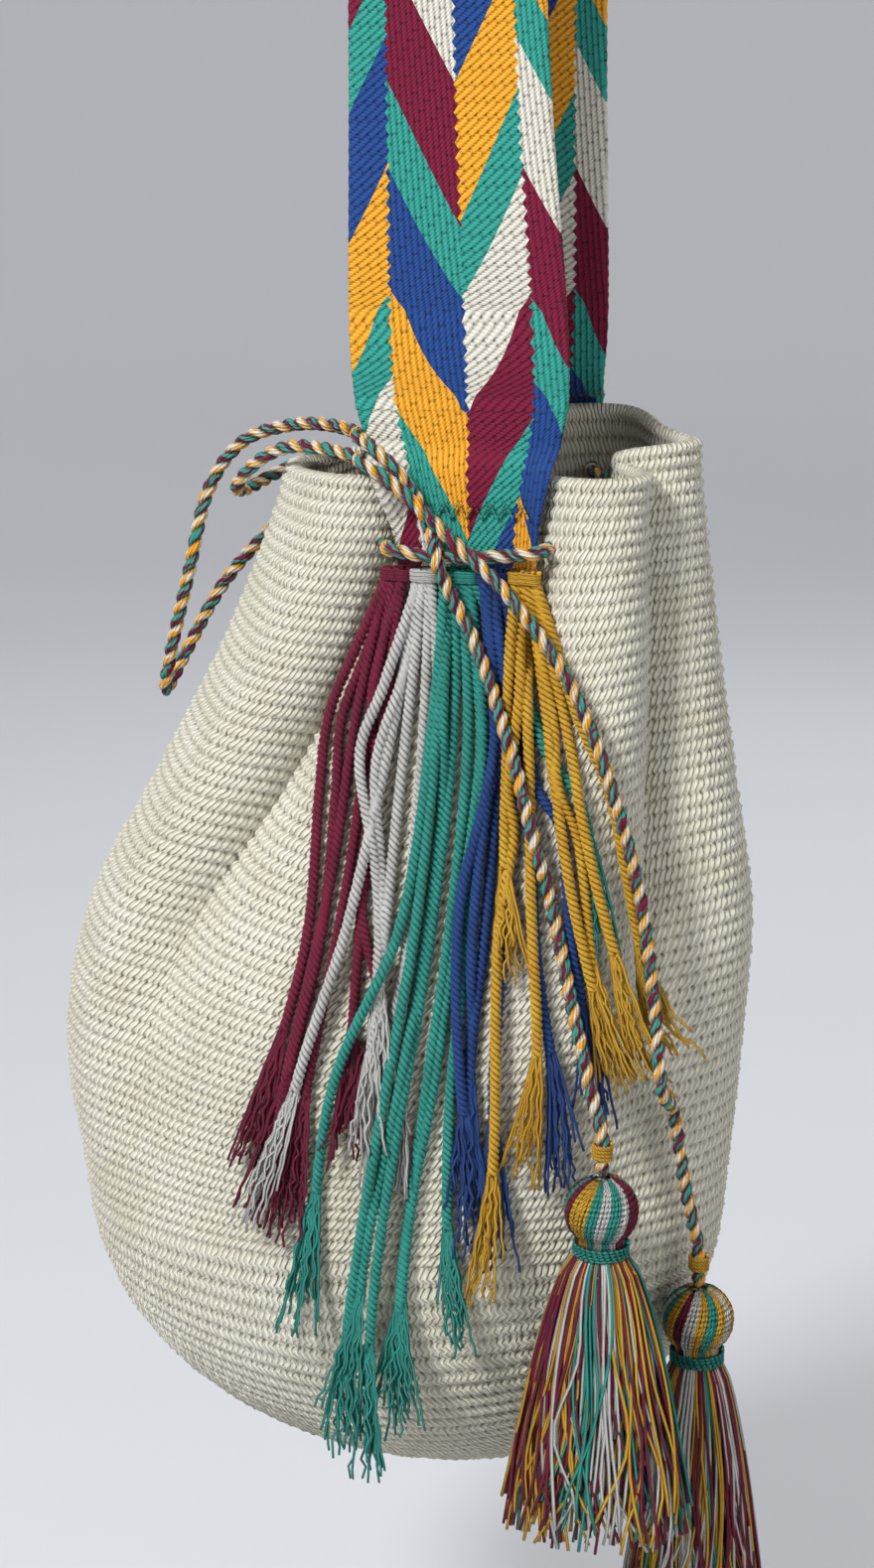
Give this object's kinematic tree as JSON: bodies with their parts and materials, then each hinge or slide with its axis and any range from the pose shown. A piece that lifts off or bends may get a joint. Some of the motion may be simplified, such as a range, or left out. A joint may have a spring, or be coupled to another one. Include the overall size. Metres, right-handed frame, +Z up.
{
  "type": "drawstring bucket bag",
  "caption": "Crocheted cotton bucket bag hanging by a wide woven strap, its mouth gathered by a twisted drawstring with two tassels, with coloured fringe at the strap ends.",
  "frame": {"origin": "inner top of the strap's loop, where a peg, hook or hand carries the bag", "axes": "+Z up, +X the bag's right as seen from the front, the front with the fringe and tassels faces -Y"},
  "size_m": [0.2607, 0.1815, 0.9106],
  "materials": {
    "cotton_yarn_offwhite": "matte crocheted cotton",
    "cotton_strap_multicolour": "matte woven cotton in chevrons of five colours",
    "cotton_cord_multicolour": "twisted cotton in four colours",
    "cotton_tassel_multicolour": "loose cotton threads in four colours",
    "cotton_wrap_teal": "wound cotton thread",
    "cotton_burgundy": "plied cotton",
    "cotton_cream": "plied cotton",
    "cotton_teal": "plied cotton",
    "cotton_blue": "plied cotton",
    "cotton_gold": "plied cotton"
  },
  "bodies": {
    "bag": {"bag_body": "cotton_yarn_offwhite", "shoulder_strap": "cotton_strap_multicolour", "front_seam_stitches": "cotton_yarn_offwhite", "back_seam_stitches": "cotton_yarn_offwhite", "drawstring_rim_run": "cotton_cord_multicolour", "drawstring_tail_left": "cotton_cord_multicolour", "drawstring_tail_right": "cotton_cord_multicolour", "tassel_left_cord_whipping": "cotton_gold", "tassel_right_cord_whipping": "cotton_gold", "front_fringe_burgundy": "cotton_burgundy", "front_fringe_cream": "cotton_cream", "front_fringe_teal": "cotton_teal", "front_fringe_blue": "cotton_blue", "front_fringe_gold": "cotton_gold", "back_fringe_burgundy": "cotton_burgundy", "back_fringe_cream": "cotton_cream", "back_fringe_teal": "cotton_teal", "back_fringe_blue": "cotton_blue", "back_fringe_gold": "cotton_gold"},
    "left_tassel": {"tassel_left": "cotton_tassel_multicolour", "tassel_left_neck_wrap": "cotton_wrap_teal"},
    "right_tassel": {"tassel_right": "cotton_tassel_multicolour", "tassel_right_neck_wrap": "cotton_wrap_teal"}
  },
  "joints": [
    {"name": "tassel_left_swing", "type": "hinge", "parent": "bag", "child": "left_tassel", "pos_m": [0.057, -0.078, -0.728], "axis": [-1, 0, 0], "range_deg": [0, 45]},
    {"name": "tassel_right_swing", "type": "hinge", "parent": "bag", "child": "right_tassel", "pos_m": [0.087, -0.042, -0.78], "axis": [0, -1, 0], "range_deg": [0, 45]}
  ]
}
